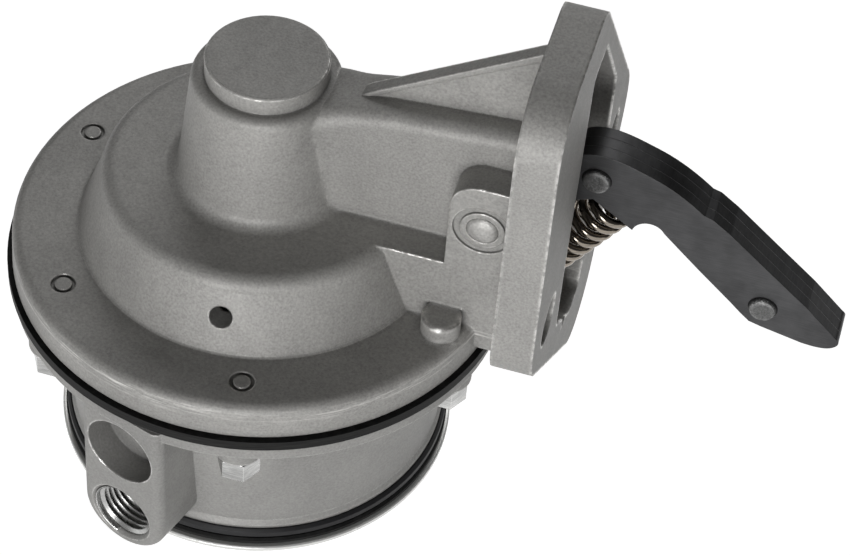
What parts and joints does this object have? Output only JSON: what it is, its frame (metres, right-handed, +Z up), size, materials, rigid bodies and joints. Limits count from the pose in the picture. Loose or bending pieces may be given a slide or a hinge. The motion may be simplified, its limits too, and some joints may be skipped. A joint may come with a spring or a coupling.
{
  "type": "mechanical fuel pump",
  "caption": "Rocker-arm diaphragm fuel pump: two round castings clamped on a diaphragm, a side mounting flange with a laminated arm and return spring, a lower port boss and a pressed cover.",
  "frame": {"origin": "on the pump axis, at the underside of the pressed cover it stands on", "axes": "+Z up along the pump axis, +X towards the face of the mounting flange and the rocker arm, +Y by the right-hand rule"},
  "size_m": [0.1787, 0.109, 0.1502],
  "materials": {
    "casting_upper": "bead-blasted cast, fine grain, duller on top",
    "casting_lower": "bead-blasted cast, fine grain",
    "pin_steel": "satin",
    "arm_steel": "blackened steel, lightly oiled",
    "rivet_steel": "blackened, worn on the head",
    "spring_steel": "dark oil-tempered wire, glossy",
    "link_steel": "plain, oiled",
    "seal_rubber": "matt",
    "plated_steel": "zinc plated",
    "diaphragm_rubber": "matt, coated fabric",
    "gasket_rubber": "slightly glossy",
    "valve_brass": "satin",
    "valve_spring_steel": "bright wire",
    "cover_plated": "zinc plated, pressed",
    "screw_plated": "bright zinc plated"
  },
  "bodies": {
    "housing": {"upper_body": "casting_upper", "pivot_pin": "pin_steel", "oil_seal": "seal_rubber", "seal_retainer": "plated_steel", "diaphragm_spring": "spring_steel", "diaphragm": "diaphragm_rubber", "lower_body": "casting_lower", "inlet_valve_cage": "valve_brass", "outlet_valve_cage": "valve_brass", "inlet_valve_spring": "valve_spring_steel", "outlet_valve_spring": "valve_spring_steel", "pulsator_gasket": "gasket_rubber", "pulsator_diaphragm": "diaphragm_rubber", "pulsator_cover": "cover_plated", "cover_screw": "screw_plated", "cover_washer": "screw_plated", "flange_screws": "screw_plated", "lock_washers": "screw_plated", "return_spring": "spring_steel"},
    "arm": {"arm_plate_near": "arm_steel", "arm_plate_middle": "arm_steel", "arm_plate_far": "arm_steel", "arm_rivets": "rivet_steel"},
    "link": {"link_lever": "link_steel"},
    "rod": {"pull_rod": "pin_steel", "rod_nut": "pin_steel", "rod_washer": "pin_steel", "diaphragm_plate_upper": "plated_steel", "diaphragm_plate_lower": "plated_steel"},
    "inlet_disc": {"inlet_valve_disc": "seal_rubber"},
    "outlet_disc": {"outlet_valve_disc": "seal_rubber"}
  },
  "joints": [
    {"name": "arm_pivot", "type": "hinge", "parent": "housing", "child": "arm", "pos_m": [0.0503, 0, 0.091], "axis": [0, 1, 0], "range_deg": [0, 7], "stiffness_Nm_per_rad": 3, "springref_deg": -20.05, "deforming": ["return_spring"]},
    {"name": "link_pivot", "type": "hinge", "parent": "housing", "child": "link", "pos_m": [0.0503, 0, 0.091], "axis": [0, 1, 0], "range_deg": [0, 7.2]},
    {"name": "diaphragm_stroke", "type": "slide", "parent": "housing", "child": "rod", "axis": [0, 0, 1], "range_m": [0, 0.0063], "deforming": ["diaphragm_spring", "diaphragm"]},
    {"name": "inlet_valve_lift", "type": "slide", "parent": "housing", "child": "inlet_disc", "axis": [0, 0, 1], "range_m": [0, 0.0012], "stiffness_N_per_m": 20, "springref_m": -0.003, "deforming": ["inlet_valve_spring"]},
    {"name": "outlet_valve_lift", "type": "slide", "parent": "housing", "child": "outlet_disc", "axis": [0, 0, -1], "range_m": [0, 0.0012], "stiffness_N_per_m": 20, "springref_m": -0.003, "deforming": ["outlet_valve_spring"]}
  ],
  "couplings": [
    {"joint": "link_pivot", "follows": "arm_pivot", "ratio": 1},
    {"joint": "diaphragm_stroke", "follows": "arm_pivot", "m_per_rad": 0.0503}
  ]
}
